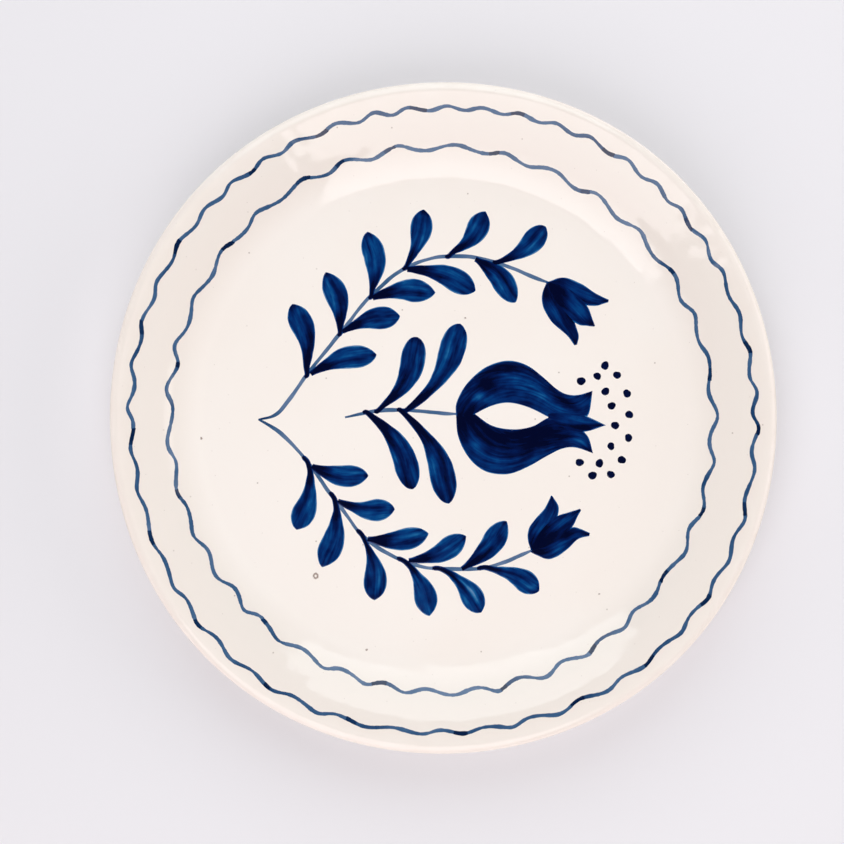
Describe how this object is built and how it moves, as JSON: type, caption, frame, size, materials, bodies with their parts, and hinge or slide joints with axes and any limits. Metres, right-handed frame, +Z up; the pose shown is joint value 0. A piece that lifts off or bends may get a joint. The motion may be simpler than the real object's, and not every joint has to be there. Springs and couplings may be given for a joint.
{
  "type": "hand painted ceramic plate",
  "caption": "Round shallow ceramic plate on a foot ring, glazed cream and brush painted in cobalt with leafy sprays, tulips, seed dots and two wavy rings.",
  "frame": {"origin": "centre of the foot ring's resting plane", "axes": "+Z up through the centre of the plate, out of its painted face; +X the way the painted sprays grow, from their shared root towards the flowers"},
  "size_m": [0.265, 0.265, 0.0239],
  "materials": {
    "bare_clay": "matt bisque",
    "cream_glaze": "gloss",
    "thin_cobalt": "gloss",
    "full_cobalt": "gloss"
  },
  "bodies": {
    "root": {"back_glaze": "cream_glaze", "centre_sprig_leaf_01": "full_cobalt", "centre_sprig_leaf_02": "full_cobalt", "centre_sprig_leaf_03": "full_cobalt", "centre_sprig_leaf_04": "full_cobalt", "centre_sprig_stem": "thin_cobalt", "clay_body": "bare_clay", "face_glaze": "cream_glaze", "foot_ring": "bare_clay", "foot_well_glaze": "cream_glaze", "inner_wave_line": "thin_cobalt", "large_flower": "full_cobalt", "lower_spray_leaf_01": "full_cobalt", "lower_spray_leaf_02": "full_cobalt", "lower_spray_leaf_03": "full_cobalt", "lower_spray_leaf_04": "full_cobalt", "lower_spray_leaf_05": "full_cobalt", "lower_spray_leaf_06": "full_cobalt", "lower_spray_leaf_07": "full_cobalt", "lower_spray_leaf_08": "full_cobalt", "lower_spray_leaf_09": "full_cobalt", "lower_spray_leaf_10": "full_cobalt", "lower_spray_leaf_11": "full_cobalt", "lower_spray_stem": "thin_cobalt", "lower_tulip": "full_cobalt", "outer_wave_line": "thin_cobalt", "seed_dot_01": "full_cobalt", "seed_dot_02": "full_cobalt", "seed_dot_03": "full_cobalt", "seed_dot_04": "full_cobalt", "seed_dot_05": "full_cobalt", "seed_dot_06": "full_cobalt", "seed_dot_07": "full_cobalt", "seed_dot_08": "full_cobalt", "seed_dot_09": "full_cobalt", "seed_dot_10": "full_cobalt", "seed_dot_11": "full_cobalt", "seed_dot_12": "full_cobalt", "seed_dot_13": "full_cobalt", "seed_dot_14": "full_cobalt", "seed_dot_15": "full_cobalt", "seed_dot_16": "full_cobalt", "upper_spray_leaf_01": "full_cobalt", "upper_spray_leaf_02": "full_cobalt", "upper_spray_leaf_03": "full_cobalt", "upper_spray_leaf_04": "full_cobalt", "upper_spray_leaf_05": "full_cobalt", "upper_spray_leaf_06": "full_cobalt", "upper_spray_leaf_07": "full_cobalt", "upper_spray_leaf_08": "full_cobalt", "upper_spray_leaf_09": "full_cobalt", "upper_spray_leaf_10": "full_cobalt", "upper_spray_leaf_11": "full_cobalt", "upper_spray_stem": "thin_cobalt", "upper_tulip": "full_cobalt"}
  },
  "joints": []
}
